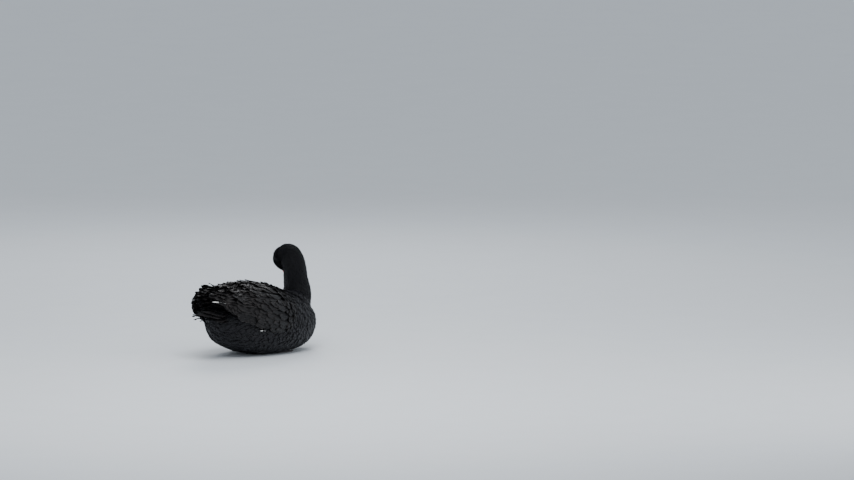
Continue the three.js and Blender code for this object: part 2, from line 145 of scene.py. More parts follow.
def form_point(form, along, angle, grow=0.0):
    """Points of a form in millimetres: along from -1 to 1, angle from its right side over its top."""
    back, front = form["back"] - grow, form["front"] + grow
    x = (back + front) / 2 + along * (front - back) / 2
    ring = np.maximum(1 - along * along, 0) ** (form["fullness"] / 2)
    square = np.where(np.sin(angle) > 0, 1, form["square"])
    c = np.sign(np.cos(angle)) * np.abs(np.cos(angle)) ** square
    s = np.sign(np.sin(angle)) * np.abs(np.sin(angle)) ** square
    reach = np.where(s > 0, form["up"](x), form["down"](x))
    y = -(form["width"](x) + grow) * ring * c
    z = form["middle"](x) + (reach + grow) * ring * s
    return np.stack(np.broadcast_arrays(x, y, z), -1)


def form_rings(form, rings, sides, grow):
    along = -np.cos(np.linspace(0.02, np.pi - 0.02, rings))[:, None]
    angle = np.linspace(0, 2 * np.pi, sides, endpoint=False)[None, :]
    return form_point(form, along, angle, grow)


# Head frame and neck line

HEAD_AXIS = np.array([
    math.cos(HEAD_TURN) * math.cos(HEAD_BOW),
    math.sin(HEAD_TURN) * math.cos(HEAD_BOW),
    -math.sin(HEAD_BOW),
])
HEAD_UP = unit(np.array([0.0, 0.0, 1.0]) - HEAD_AXIS * HEAD_AXIS[2])
HEAD_LEFT = np.cross(HEAD_UP, HEAD_AXIS)
HEAD_TURNED = np.stack([HEAD_AXIS, HEAD_LEFT, HEAD_UP])


def from_head(points):
    return points @ HEAD_TURNED + HEAD_CENTRE


def to_head(points):
    return (points - HEAD_CENTRE) @ HEAD_TURNED.T


NECK_POINTS = np.array([
    (86, 0, 108),
    (146, 0, 138),
    (188, 0, 186),
    (181, 0, 238),
    (173, 1, 284),
    (172, 20, 317),
    tuple(HEAD_CENTRE - 16 * HEAD_AXIS),
])
NECK_RADIUS = profile([
    (0, 84), (0.22, 76), (0.4, 54), (0.56, 43), (0.75, 40.5), (0.88, 39), (0.95, 35.4), (1, 27),
])
NECK_STEPS = 240


def rounded_line(points, steps):
    """Evenly spaced points on a smooth curve through the points, timed by the roots of their distances."""
    ends = np.vstack([2 * points[0] - points[1], points, 2 * points[-1] - points[-2]])
    fine = []
    for p0, p1, p2, p3 in zip(ends, ends[1:], ends[2:], ends[3:]):
        d0, d1, d2 = (math.sqrt(np.linalg.norm(b - a)) for a, b in ((p0, p1), (p1, p2), (p2, p3)))
        m1 = ((p1 - p0) / d0 - (p2 - p0) / (d0 + d1) + (p2 - p1) / d1) * d1
        m2 = ((p2 - p1) / d1 - (p3 - p1) / (d1 + d2) + (p3 - p2) / d2) * d1
        t = np.linspace(0, 1, 80, endpoint=False)[:, None]
        fine.append(p1 + m1 * t + (3 * (p2 - p1) - 2 * m1 - m2) * t**2 + (2 * (p1 - p2) + m1 + m2) * t**3)
    fine = np.vstack(fine + [points[-1:]])
    length = np.concatenate([[0], np.cumsum(np.linalg.norm(np.diff(fine, axis=0), axis=1))])
    at = np.linspace(0, length[-1], steps + 1)
    return np.stack([np.interp(at, length, fine[:, k]) for k in range(3)], -1)


def frames_along(line):
    """Tangent, side and up at each point of a line, turned as little as can be."""
    tangent = unit(np.gradient(line, axis=0))
    side = np.empty_like(tangent)
    start = np.cross(tangent[0], (0.0, 1.0, 0.0) if abs(tangent[0][1]) < 0.9 else (1.0, 0.0, 0.0))
    side[0] = unit(start)
    for i in range(1, len(line)):
        side[i] = unit(side[i - 1] - tangent[i] * (side[i - 1] @ tangent[i]))
    return tangent, side, np.cross(tangent, side)


def tube_rings(line, radius, sides, squash=1.0):
    """Round rings along a line, flattened by squash across their up way."""
    side, up = frames_along(line)[1:]
    angle = np.linspace(0, 2 * np.pi, sides, endpoint=False)[None, :, None]
    radius = np.broadcast_to(radius, len(line))[:, None, None]
    ring = side[:, None] * np.cos(angle) + up[:, None] * (squash * np.sin(angle))
    return line[:, None] + ring * radius


NECK_LINE = rounded_line(NECK_POINTS, NECK_STEPS)
NECK_TANGENT = frames_along(NECK_LINE)[0]
NECK_SHARE = np.linspace(0, 1, NECK_STEPS + 1)


# Meshes

def mesh_object(name, points, faces, uvs=None, numbers=None):
    """A mesh object from points in metres and four-cornered faces, with UV maps and numbers."""
    faces = np.asarray(faces, np.int32)
    mesh = bpy.data.meshes.new(name)
    mesh.vertices.add(len(points))
    mesh.vertices.foreach_set("co", np.asarray(points, np.float32).ravel())
    mesh.loops.add(faces.size)
    mesh.loops.foreach_set("vertex_index", faces.ravel())
    mesh.polygons.add(len(faces))
    mesh.polygons.foreach_set("loop_start", np.arange(0, faces.size, faces.shape[1], dtype=np.int32))
    mesh.update(calc_edges=True)
    for key, uv in (uvs or {}).items():
        layer = mesh.uv_layers.new(name=key)
        layer.data.foreach_set("uv", np.asarray(uv, np.float32)[faces.ravel()].ravel())
    for key, value in (numbers or {}).items():
        layer = mesh.attributes.new(key, "FLOAT", "POINT")
        layer.data.foreach_set("value", np.asarray(value, np.float32))
    mesh.validate()
    mesh.shade_smooth()
    made = bpy.data.objects.new(name, mesh)
    bpy.context.scene.collection.objects.link(made)
    return made


def mesh_values(mesh, what="co"):
    """The points of a mesh, or another value of three numbers at them."""
    values = np.empty(len(mesh.vertices) * 3, np.float32)
    mesh.vertices.foreach_get(what, values)
    return values.reshape(-1, 3)


def mesh_corners(mesh):
    """The three corners of each triangle of a mesh."""
    mesh.calc_loop_triangles()
    corner = np.empty(len(mesh.loop_triangles) * 3, np.int32)
    mesh.loop_triangles.foreach_get("vertices", corner)
    return corner.reshape(-1, 3)


def ring_faces(rings, sides):
    """Faces between rings of points, closed round, facing out when the rings run along their axis."""
    i, j = np.meshgrid(np.arange(rings - 1), np.arange(sides), indexing="ij")
    k = (j + 1) % sides
    quad = np.stack([i * sides + j, i * sides + k, (i + 1) * sides + k, (i + 1) * sides + j], -1)
    return quad.reshape(-1, 4)


def grid_faces(grid):
    """Faces of a grid of point numbers."""
    return np.stack([grid[:-1, :-1], grid[1:, :-1], grid[1:, 1:], grid[:-1, 1:]], -1).reshape(-1, 4)


def loft(rings):
    """Points and faces of a closed body from rings, its two ends shut by fans of four-cornered faces."""
    count, sides = rings.shape[:2]
    ends = np.stack([rings[0].mean(0), rings[-1].mean(0)])
    points = np.vstack([rings.reshape(-1, 3), ends])
    near, far = count * sides, count * sides + 1
    even = np.arange(0, sides, 2)
    after, next_even = even + 1, (even + 2) % sides
    last = (count - 1) * sides
    cap = np.stack([np.full_like(even, near), next_even, after, even], -1)
    end = np.stack([np.full_like(even, far), last + even, last + after, last + next_even], -1)
    return points, np.vstack([ring_faces(count, sides), cap, end])


def merged(bodies):
    """Points and faces of several bodies as one."""
    points, faces, start = [], [], 0
    for body_points, body_faces in bodies:
        points.append(body_points)
        faces.append(np.asarray(body_faces) + start)
        start += len(body_points)
    return np.vstack(points), np.vstack(faces)


def applied(made):
    """The object with its modifiers worked out into its mesh."""
    bpy.context.view_layer.update()
    mesh = bpy.data.meshes.new_from_object(made.evaluated_get(bpy.context.evaluated_depsgraph_get()))
    made.modifiers.clear()
    made.data = mesh
    mesh.name = made.name
    return made


def face_out(made):
    """Turns the faces of a closed mesh outwards."""
    a, b, c = mesh_values(made.data)[mesh_corners(made.data)].transpose(1, 0, 2).astype(float)
    if np.einsum("ij,ij->i", a, np.cross(b, c)).sum() < 0:
        made.data.flip_normals()
    return made


# Materials

class Nodes:
    """A material's nodes, with a short way to add and join them."""

    def __init__(self, name):
        self.material = bpy.data.materials.new(name)
        self.material.use_nodes = True
        self.tree = self.material.node_tree
        self.shader = self.tree.nodes["Principled BSDF"]

    def add(self, kind, **settings):
        node = self.tree.nodes.new(kind)
        inputs = settings.pop("inputs", {})
        for key, value in settings.items():
            setattr(node, key, value)
        for key, value in inputs.items():
            self.feed(node.inputs[key], value)
        return node

    def feed(self, socket, value):
        if isinstance(value, bpy.types.NodeSocket):
            self.tree.links.new(value, socket)
        elif isinstance(value, bpy.types.Node):
            self.tree.links.new(value.outputs[0], socket)
        else:
            socket.default_value = value

    def math(self, operation, a, b=0.0, clamp=False):
        return self.add("ShaderNodeMath", operation=operation, use_clamp=clamp, inputs={0: a, 1: b})

    def ramp(self, value, low, high, to_low=0.0, to_high=1.0):
        node = self.add("ShaderNodeMapRange", interpolation_type="SMOOTHSTEP")
        for key, item in zip(range(5), (value, low, high, to_low, to_high)):
            self.feed(node.inputs[key], item)
        return node

    def mix(self, factor, a, b, blend="MIX"):
        node = self.add("ShaderNodeMix", data_type="RGBA", blend_type=blend)
        self.feed(node.inputs[0], factor)
        self.feed(node.inputs[6], a if not isinstance(a, tuple) else (*a, 1))
        self.feed(node.inputs[7], b if not isinstance(b, tuple) else (*b, 1))
        return node.outputs[2]

    def noise(self, scale, detail=3.0, rough=0.55, vector=None):
        node = self.add("ShaderNodeTexNoise", inputs={"Scale": scale, "Detail": detail, "Roughness": rough})
        self.feed(node.inputs["Vector"], vector if vector is not None else self.place())
        return node.outputs[0]

    def place(self):
        if not hasattr(self, "coordinates"):
            self.coordinates = self.add("ShaderNodeTexCoord").outputs["Object"]
        return self.coordinates

    def number(self, name):
        return self.add("ShaderNodeAttribute", attribute_name=name).outputs["Fac"]

    def bump(self, height, strength, distance):
        sizes = {"Strength": strength, "Distance": distance, "Height": height}
        self.feed(self.shader.inputs["Normal"], self.add("ShaderNodeBump", inputs=sizes))

    def set(self, **sockets):
        for key, value in sockets.items():
            value = (*value, 1) if isinstance(value, tuple) else value
            self.feed(self.shader.inputs[key.replace("_", " ")], value)


def feather_finish(name, deep, mid, fringe, fringe_share, shaft, roughness, sheen, barbs=60.0):
    """A feather's vane: dark along its middle, paler at its rim, with a shaft and fine slanting barbs."""
    n = Nodes(name)
    vane = n.add("ShaderNodeUVMap", uv_map="Vane")
    split = n.add("ShaderNodeSeparateXYZ", inputs={0: vane.outputs[0]})
    t, across = split.outputs[0], split.outputs[1]
    away = n.math("MULTIPLY", n.math("ABSOLUTE", n.math("SUBTRACT", across, 0.5)), 2.0)
    tone = n.number("tone")
    patch = n.noise(55.0)
    edge = n.math("MAXIMUM", n.ramp(away, 0.62, 1.0), n.ramp(t, 0.8, 1.0, 0.0, 0.4))
    worn = n.math("ADD", patch, n.math("MULTIPLY", tone, 0.5))
    edge = n.math("MULTIPLY", edge, n.ramp(worn, 0.3, 1.0, 0.25, 1.0))
    slant = n.math("SUBTRACT", n.math("MULTIPLY", t, barbs), n.math("MULTIPLY", away, barbs * 0.35))
    barb = n.math("SINE", n.math("MULTIPLY", slant, 6.28))
    colour = n.mix(n.math("MULTIPLY", tone, n.ramp(patch, 0.25, 0.75, 0.5, 1.0)), deep, mid)
    colour = n.mix(n.math("MULTIPLY", edge, fringe_share), colour, fringe)
    colour = n.mix(n.math("MULTIPLY", n.ramp(barb, 0.2, 1.0), 0.14), colour, tuple(0.5 * c for c in deep))
    colour = n.mix(n.ramp(away, 0.0, 0.07, 0.6, 0.0), colour, shaft)
    n.set(Base_Color=colour, Roughness=roughness, Sheen_Weight=sheen, Sheen_Roughness=0.45)
    n.set(Sheen_Tint=(0.6, 0.66, 0.78), Specular_IOR_Level=0.2)
    n.bump(n.math("ADD", barb, n.math("MULTIPLY", n.noise(900.0), 1.5)), 0.22, 0.0004)
    return n.material


def skin_finish():
    """Bare black skin under the coat, and the red bare skin between bill and eye."""
    n = Nodes("skin_black_and_red")
    bare = n.number("bare")
    grain = n.noise(700.0)
    black = n.mix(n.noise(90.0), (0.006, 0.006, 0.007), (0.014, 0.013, 0.014))
    red = n.mix(grain, (0.33, 0.022, 0.014), (0.5, 0.05, 0.032))
    n.set(Base_Color=n.mix(bare, black, red), Roughness=n.ramp(bare, 0.2, 0.8, 0.95, 0.5))
    n.set(Specular_IOR_Level=n.ramp(bare, 0.2, 0.8, 0.05, 0.4))
    n.bump(grain, 0.5, 0.0005)
    return n.material


def bill_finish():
    """Waxy red horn, with a pale band across it short of the tip and a paler nail, and painted shade: the
    nostrils painted near black for the shade inside their openings.
    """
    n = Nodes("bill_red_horn")
    along = n.number("along")
    wear = n.noise(160.0)
    streak = n.noise(60.0)
    wander = n.math("MULTIPLY", n.math("SUBTRACT", streak, 0.5), 3.0)
    place = n.math("ADD", along, wander)
    band = n.math("MULTIPLY", n.ramp(place, 85.5, 87.5), n.ramp(place, 92.5, 95.0, 1.0, 0.0))
    nail = n.ramp(place, 101.5, 104.0)
    red = n.mix(n.ramp(streak, 0.3, 0.75), (0.42, 0.022, 0.012), (0.6, 0.06, 0.03))
    red = n.mix(n.ramp(wear, 0.55, 0.8, 0.0, 0.35), red, (0.2, 0.012, 0.01))
    colour = n.mix(n.math("MULTIPLY", band, 0.85), red, (0.72, 0.53, 0.47))
    colour = n.mix(n.math("MULTIPLY", nail, 0.8), colour, (0.66, 0.5, 0.46))
    # Painted shade: the nostrils are painted near black for the shade inside their openings, which the
    # bill's shape dents only a little.
    colour = n.mix(n.number("hollow"), colour, (0.03, 0.004, 0.004))
    n.set(Base_Color=colour, Roughness=n.ramp(wear, 0.2, 0.8, 0.26, 0.46))
    n.set(Coat_Weight=n.ramp(n.number("hollow"), 0.0, 0.4, 0.25, 0.0))
    n.set(Coat_Roughness=0.25, Subsurface_Weight=0.06, Subsurface_Scale=0.002)
    n.bump(n.math("ADD", wear, n.noise(1300.0)), 0.25, 0.0003)
    return n.material


def eye_finish():
    """Red iris round a black pupil, with fine rays, under a wet surface."""
    n = Nodes("eye_red_iris")
    off = n.number("off_axis")
    rays = n.noise(1500.0, 2.0)
    iris = n.mix(rays, (0.16, 0.004, 0.003), (0.46, 0.02, 0.01))
    iris = n.mix(n.ramp(off, 0.55, 0.78), iris, (0.02, 0.001, 0.001))
    colour = n.mix(n.ramp(off, 0.34, 0.39), (0.001, 0.001, 0.001), iris)
    n.set(Base_Color=colour, Roughness=0.15, Specular_IOR_Level=0.15, Coat_Weight=0.3, Coat_Roughness=0.03)
    return n.material


def lid_finish():
    """Black lids, their edges red."""
    n = Nodes("lid_skin")
    fold = n.noise(1100.0)
    black = n.mix(fold, (0.006, 0.006, 0.007), (0.018, 0.016, 0.017))
    red = n.mix(fold, (0.16, 0.02, 0.014), (0.34, 0.05, 0.035))
    n.set(Base_Color=n.mix(n.number("rim"), black, red), Roughness=0.55)
    n.bump(fold, 0.6, 0.0004)
    return n.material


def foot_finish():
    """Dark grey scaly skin, with small plates and paler creases."""
    n = Nodes("foot_scales")
    cells = n.add("ShaderNodeTexVoronoi", feature="DISTANCE_TO_EDGE",
                  inputs={"Vector": n.place(), "Scale": 520.0})
    crease = n.ramp(cells.outputs[0], 0.0, 0.12)
    tint = n.noise(130.0)
    scale = n.mix(tint, (0.016, 0.016, 0.018), (0.05, 0.048, 0.05))
    n.set(Base_Color=n.mix(crease, (0.09, 0.085, 0.085), scale), Roughness=n.ramp(tint, 0.3, 0.7, 0.42, 0.6))
    n.bump(crease, 0.6, 0.0006)
    return n.material


def claw_finish():
    n = Nodes("claw_horn")
    grain = n.noise(400.0)
    n.set(Base_Color=n.mix(grain, (0.008, 0.008, 0.009), (0.035, 0.03, 0.028)), Roughness=0.33)
    n.bump(grain, 0.2, 0.0002)
    return n.material


def floor_finish():
    n = Nodes("floor_pale")
    n.set(Base_Color=n.mix(n.noise(6.0), (0.70, 0.74, 0.78), (0.74, 0.78, 0.82)), Roughness=0.6)
    return n.material


BODY_FEATHER = feather_finish(
    "feather_body", (0.003, 0.003, 0.004), (0.008, 0.0075, 0.0095), (0.055, 0.051, 0.058), 0.5,
    (0.010, 0.009, 0.010), 0.48, 0.03)
NECK_FEATHER = feather_finish(
    "feather_neck", (0.0028, 0.0028, 0.0038), (0.007, 0.007, 0.009), (0.02, 0.02, 0.025), 0.4,
    (0.005, 0.005, 0.006), 0.46, 0.03, 10.0)
WING_FEATHER = feather_finish(
    "feather_wing", (0.0035, 0.0032, 0.0036), (0.010, 0.009, 0.0095), (0.058, 0.050, 0.047), 0.55,
    (0.015, 0.013, 0.012), 0.5, 0.025)
WHITE_FEATHER = feather_finish(
    "feather_white", (0.62, 0.61, 0.58), (0.78, 0.77, 0.74), (0.85, 0.84, 0.82), 0.5,
    (0.5, 0.47, 0.42), 0.55, 0.05)


def finished(made, material, slot, *nodes):
    """Gives a piece its material and its place in the frame."""
    made.data.materials.clear()
    made.data.materials.append(material)
    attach(made, BODY)
    if nodes:
        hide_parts(*nodes)
    return made


# Skin: trunk, neck, head and wing stumps as one body, inside the coat by its depth

def wing_rings(side, grow):
    rings = form_rings(WING, 40, 36, grow)
    rings = rings[rings[:, 0, 0] > STUMP_BACK]
    rings[..., 1] = np.where(rings[..., 1] * side > 0, rings[..., 1], -4 * side)
    return rings


MUZZLE_TOP = profile([(16, 26), (30, 19), (40, 13.2), (48, 8), (56, 0)])
MUZZLE_FOOT = profile([(16, -28), (30, -25), (40, -21.6), (48, -18.2), (56, -13)])
MUZZLE_WIDTH = profile([(16, 26), (30, 19.6), (40, 14.8), (48, 11.2), (56, 6.5)])


def muzzle_rings():
    """The bare skin that runs out over the root of the bill."""
    x = np.linspace(16, 56, 20)[:, None]
    angle = np.linspace(0, 2 * np.pi, 40, endpoint=False)[None, :]
    top, foot = MUZZLE_TOP(x), MUZZLE_FOOT(x)
    y = -MUZZLE_WIDTH(x) * np.cos(angle)
    return np.stack([x + 0 * angle, y, (top + foot) / 2 + (top - foot) / 2 * np.sin(angle)], -1)


def build_skin():
    """One closed body of flesh, its joins rounded over."""
    neck = tube_rings(NECK_LINE[::6], NECK_RADIUS(NECK_SHARE[::6]) - NECK_COAT, 48)
    shapes = [
        form_rings(TRUNK, 60, 64, -BODY_COAT),
        neck,
        from_head(form_rings(HEAD, 40, 40, -HEAD_COAT)),
        from_head(muzzle_rings()),
        wing_rings(1, -WING_COAT),
        wing_rings(-1, -WING_COAT),
    ]
    bodies = []
    for rings in shapes:
        points, faces = loft(rings)
        a, b, c = points[faces[:, :3]].transpose(1, 0, 2)
        volume = np.einsum("ij,ij->i", a - points.mean(0), np.cross(b - a, c - a)).sum()
        bodies.append((points, faces if volume > 0 else faces[:, ::-1]))
    points, faces = merged(bodies)
    skin = mesh_object("skin", points * MM, faces)
    remesh = skin.modifiers.new("one", "REMESH")
    remesh.mode = "VOXEL"
    remesh.voxel_size = SKIN_CELL * MM
    soften = skin.modifiers.new("soften", "SMOOTH")
    soften.factor = 0.5
    soften.iterations = 18
    applied(skin)
    co = shape_face(mesh_values(skin.data) / MM) * MM
    co[:, 2] = np.maximum(co[:, 2], (SKIN_LOW + FOOT_HOLLOW * over_feet(co / MM)) * MM)
    skin.data.vertices.foreach_set("co", co.ravel().astype(np.float32))
    bare = skin.data.attributes.new("bare", "FLOAT", "POINT")
    bare.data.foreach_set("value", bare_share(co / MM).astype(np.float32))
    skin.data.shade_smooth()
    skin.data.update()
    return face_out(skin)


def over_feet(points):
    """1 over the folded feet and 0 away from them, as seen from below."""
    x, y = points[:, 0], np.abs(points[:, 1])
    half = np.interp(x, [-104, -30, 0, 60], [11, 12, 19, 31])
    off = np.abs(y - np.interp(x, [-104, -30, 60], [52, 56, 59]))
    return smooth(half + 7, half - 3, off) * smooth(-98, -84, x) * smooth(76, 66, x)


def hill(x, z, middle_x, middle_z, long, high):
    return np.exp(-((x - middle_x) / long) ** 2 - ((z - middle_z) / high) ** 2)


def shape_face(points):
    """Sinks the eye sockets, the lores and the mouth's corners, and raises brow and cheek."""
    local = to_head(np.asarray(points, float))
    x, y, z = local.T
    side = np.sign(y) * smooth(9, 16, np.abs(y)) * (np.linalg.norm(local, axis=1) < 70)
    push = (
        -0.9 * hill(x, z, EYE[0], EYE[2], 9.5, 7.5) + 1.5 * hill(x, z, EYE[0] - 2, EYE[2] + 11, 13, 4.5)
        + 1.3 * hill(x, z, 2, -12, 12, 8) - 1.3 * hill(x, z, 27, 2, 7, 5)
        - 1.5 * smooth(20, 27, x) * np.exp(-((z + 9.6) / 2.0) ** 2)
    )
    local[:, 1] += side * push
    return from_head(local)


def bare_share(points):
    """1 on the bare skin between the bill and the eye, 0 elsewhere: a wedge that narrows to the eye."""
    local = to_head(np.asarray(points, float))
    x, y, z = local[:, 0], np.abs(local[:, 1]), local[:, 2]
    middle = 6.5 - 0.34 * (x - 14)
    half = np.interp(x, [12, 18, 26, 34, 44], [0.5, 4.0, 9.5, 16.0, 22.0])
    wedge = smooth(half + 0.7, half - 0.7, np.abs(z - middle)) * smooth(10, 13, x)
    rim = smooth(33, 35, x + 0.3 * np.minimum(z + 10, 0)) * smooth(72, 68, x)
    near = (np.abs(y) < 30) & (np.abs(z + 3) < 26)
    return np.maximum(wedge * (y > 4), rim) * near


class Surface:
    """Points, normals and nearest places on a mesh, in millimetres."""

    def __init__(self, made):
        self.corner = mesh_corners(made.data)
        self.co = mesh_values(made.data).astype(float) / MM
        self.normal = mesh_values(made.data, "normal").astype(float)
        a, b, c = self.co[self.corner].transpose(1, 0, 2)
        self.area = np.linalg.norm(np.cross(b - a, c - a), axis=1) / 2
        self.tree = BVHTree.FromPolygons([tuple(p) for p in self.co], self.corner.tolist())

    def sample(self, rng, density, wanted):
        """Random points with normals, so many to a square millimetre, where wanted(points) is true."""
        keep = wanted(self.co[self.corner].mean(1))
        area = self.area * keep
        count = int(area.sum() * density)
        picked = rng.choice(len(area), count, p=area / area.sum())
        r = np.sqrt(rng.random(count))
        s = rng.random(count)
        weight = np.stack([1 - r, r * (1 - s), r * s], -1)[..., None]
        corner = self.corner[picked]
        return (self.co[corner] * weight).sum(1), unit((self.normal[corner] * weight).sum(1))

    def near(self, points):
        """The nearest places on the surface, with the way out there."""
        place, way = np.empty_like(points), np.empty_like(points)
        for i, p in enumerate(points):
            hit, normal, face, _ = self.tree.find_nearest(Vector(p))
            place[i] = hit
            way[i] = self.normal[self.corner[face]].mean(0)
        return place, unit(way)


def spread_out(points, gap):
    """The places of points kept so that none is nearer to another than its gap."""
    cells = np.floor(points / gap.max()).astype(int).tolist()
    around = list(product((-1, 0, 1), repeat=3))
    held, kept = {}, []
    for i, (p, (a, b, c)) in enumerate(zip(points.tolist(), cells)):
        least = gap[i] ** 2
        near = (q for da, db, dc in around for q in held.get((a + da, b + db, c + dc), ()))
        if all((p[0] - q[0]) ** 2 + (p[1] - q[1]) ** 2 + (p[2] - q[2]) ** 2 >= least for q in near):
            held.setdefault((a, b, c), []).append(p)
            kept.append(i)
    return np.array(kept)


# Feathers

def vane_grid(steps, across):
    """Row, place across from -1 to 1, and face side of each corner of a closed vane, with its faces."""
    top = np.arange((steps + 1) * (across + 1)).reshape(steps + 1, across + 1)
    under = top.copy()
    inner = under[1:-1, 1:-1]
    inner[...] = np.arange(inner.size).reshape(inner.shape) + top.size
    row, column = np.divmod(np.arange(top.size), across + 1)
    inside = top[1:-1, 1:-1].ravel()
    side = np.zeros(top.size)
    side[inside] = 1
    row = np.concatenate([row, row[inside]])
    column = np.concatenate([column, column[inside]])
    side = np.concatenate([side, np.full(len(inside), -1.0)])
    faces = np.vstack([grid_faces(top), grid_faces(under)[:, ::-1]])
    return row, 2 * column / across - 1, side, faces


BAKE_PATCH = 0.003
SPLIT_WIDTH = 0.03
LOWEST_VANE = 0.4
FLOOR_STEP = 1.3
CONTOUR = profile([(0, 0.35), (0.25, 0.75), (0.6, 1.0), (0.85, 0.9), (1, 0.5)])
QUILL = profile([(0, 0.25), (0.2, 0.7), (0.55, 1.0), (0.88, 0.86), (1, 0.42)])
CURLED = profile([(0, 0.3), (0.2, 0.68), (0.5, 0.94), (0.85, 1.0), (1, 0.6)])


def feathers(name, centre, out, width, across, chart, rng, outline=CONTOUR, camber=0.1, twist=0.0,
             ruffle=0.0, waves=2.4, thickness=0.35, rounding=0.34, split=0.0):
    """Many feathers as one mesh. centre and out hold each feather's line and the way out of it, row by row,
    in millimetres, and chart the place of each root on the unwrapped skin, from 0 to 1. Vanes that would
    reach through the floor are laid over each other just above it."""
    count, rows = centre.shape[:2]
    steps = rows - 1
    width = np.broadcast_to(width, count).astype(float)
    row, v, face, faces = vane_grid(steps, across)
    t = row / steps
    tangent = unit(np.gradient(centre, axis=1))
    side = unit(np.cross(out, tangent))
    half = 0.5 * width[:, None] * outline(t)[None, :]
    reach = half * v[None, :]
    for hand in (1, -1):
        at, deep = rng.uniform(0.35, 0.95, (count, 1)), rng.uniform(0, split, (count, 1))
        gash = deep * np.exp(-((t - at) / SPLIT_WIDTH) ** 2) * (v * hand > 0) * v * v
        reach = reach * (1 - gash)
    phase = rng.uniform(0, 6.28, (count, 2))
    left = (v > 0).astype(int)
    beat = np.sin(6.28 * waves * t[None, :] * rng.uniform(0.8, 1.25, (count, 1)) + phase[:, left])
    free = smooth(0.25, 0.75, t) * np.abs(v) ** 1.6
    ruffle = np.broadcast_to(ruffle, count).astype(float)
    lift = (
        -camber * width[:, None] * (v * v)[None, :]
        + np.broadcast_to(twist, count)[:, None] * reach
        + ruffle[:, None] * free[None, :] * beat
        + face[None, :] * thickness / 2 * (1 - 0.6 * t)[None, :]
    )
    shift = -rounding * width[:, None] * (v * v * smooth(0.5, 1.0, t))[None, :]
    points = (
        centre[:, row] + side[:, row] * reach[..., None]
        + out[:, row] * lift[..., None] + tangent[:, row] * shift[..., None]
    )
    floor = LOWEST_VANE + FLOOR_STEP * (np.arange(count) * 0.618 % 1)[:, None] + 0.3 * (face > 0)[None, :]
    points[..., 2] = np.maximum(points[..., 2], floor)
    corners = points.shape[1]
    all_faces = (faces[None] + (np.arange(count) * corners)[:, None, None]).reshape(-1, 4)
    vane = np.broadcast_to(np.stack([t, (v + 1) / 2], -1), (count, corners, 2)).reshape(-1, 2)
    spot = chart[:, None] + BAKE_PATCH * (np.stack([t, (v + 1) / 2], -1)[None] - 0.5)
    tone = np.repeat(rng.random(count), corners)
    return mesh_object(
        name, points.reshape(-1, 3) * MM, all_faces,
        {"OFBake": np.clip(spot, 0, 1).reshape(-1, 2), "Vane": vane}, {"tone": tone},
    )


def ways(points, normals):
    """The lie of the coat: off the bill over the head, down the neck, and back and down over the body."""
    near = np.empty(len(points), int)
    for start in range(0, len(points), 4000):
        part = points[start:start + 4000]
        near[start:start + 4000] = np.linalg.norm(part[:, None] - NECK_LINE[None], axis=2).argmin(1)
    share = NECK_SHARE[near]
    ratio = np.linalg.norm(points - NECK_LINE[near], axis=1) / NECK_RADIUS(share)
    on_neck = np.maximum(smooth(1.7, 1.1, ratio) * smooth(0.25, 0.5, share), smooth(210, 235, points[:, 2]))
    front = smooth(0, 150, points[:, 0]) * smooth(1.0, 0.55, normals[:, 2])
    trunk = np.stack([-np.ones(len(points)), np.zeros(len(points)), -1.9 * front - 0.05], -1)
    lie = trunk * (1 - on_neck)[:, None] - NECK_TANGENT[near] * on_neck[:, None]
    local = to_head(points)
    on_head = smooth(-34, 0, local[:, 0]) * (np.linalg.norm(local, axis=1) < 62)
    lie = lie * (1 - on_head)[:, None] - HEAD_AXIS * on_head[:, None]
    lie -= normals * (lie * normals).sum(1, keepdims=True)
    return unit(lie), share, on_neck, on_head


def coat(name, skin, rng, wanted, length, width, gap, rise, steps, across, finish, chart, ruffle=0.0,
         lift=0.3, camber=0.06):
    """A tract of the coat: feathers set over the skin where wanted is true. length, width, gap and rise are
    sizes in millimetres, or functions of the points. Roots stand off by the share lift of the rise."""
    spacing = gap if callable(gap) else (lambda p: np.full(len(p), float(gap)))
    least = float(np.min(spacing(skin.co)))
    points, normals = skin.sample(rng, 2.6 / least**2, wanted)
    keep = wanted(points)
    points, normals = points[keep], normals[keep]
    kept = spread_out(points, spacing(points))
    points, normals = points[kept], normals[kept]
    lie = ways(points, normals)[0]
    lie = unit(lie + 0.07 * np.cross(normals, lie) * rng.normal(size=(len(points), 1)))
    size = lambda item: item(points) if callable(item) else np.full(len(points), float(item))
    long = size(length) * rng.uniform(0.88, 1.12, len(points))
    high = size(rise) * rng.uniform(0.8, 1.2, len(points))
    middle, middle_out = skin.near(points + lie * (0.5 * long)[:, None])
    end, end_out = skin.near(points + lie * long[:, None])
    root = points + normals * (lift * high)[:, None]
    middle = middle + middle_out * ((0.58 + 0.42 * lift) * high)[:, None]
    end = end + end_out * high[:, None]
    t = np.linspace(0, 1, steps + 1)[None, :, None]
    a, b, c = (2 * t - 1) * (t - 1), 4 * t * (1 - t), t * (2 * t - 1)
    centre = a * root[:, None] + b * middle[:, None] + c * end[:, None]
    out = unit(a * normals[:, None] + b * middle_out[:, None] + c * end_out[:, None])
    made = feathers(
        name, centre, out, size(width) * rng.uniform(0.9, 1.1, len(points)), across, chart(points), rng,
        twist=rng.normal(0, 0.06, len(points)), ruffle=ruffle, camber=camber,
    )
    return finished(made, finish, "black_feather")


def inset(chart):
    """A place on an unwrap, kept off its edges."""
    return chart * 0.96 + 0.02


def trunk_chart(points):
    """The trunk unrolled: its length across, and the turn round it upwards."""
    middle = TRUNK["middle"](points[:, 0])
    turn = np.arctan2(points[:, 2] - middle, -points[:, 1])
    return inset(np.stack([(points[:, 0] - RUMP) / (BREAST - RUMP), (turn / np.pi + 1) / 2], -1))


NECK_SIDE, NECK_UP = frames_along(NECK_LINE)[1:]


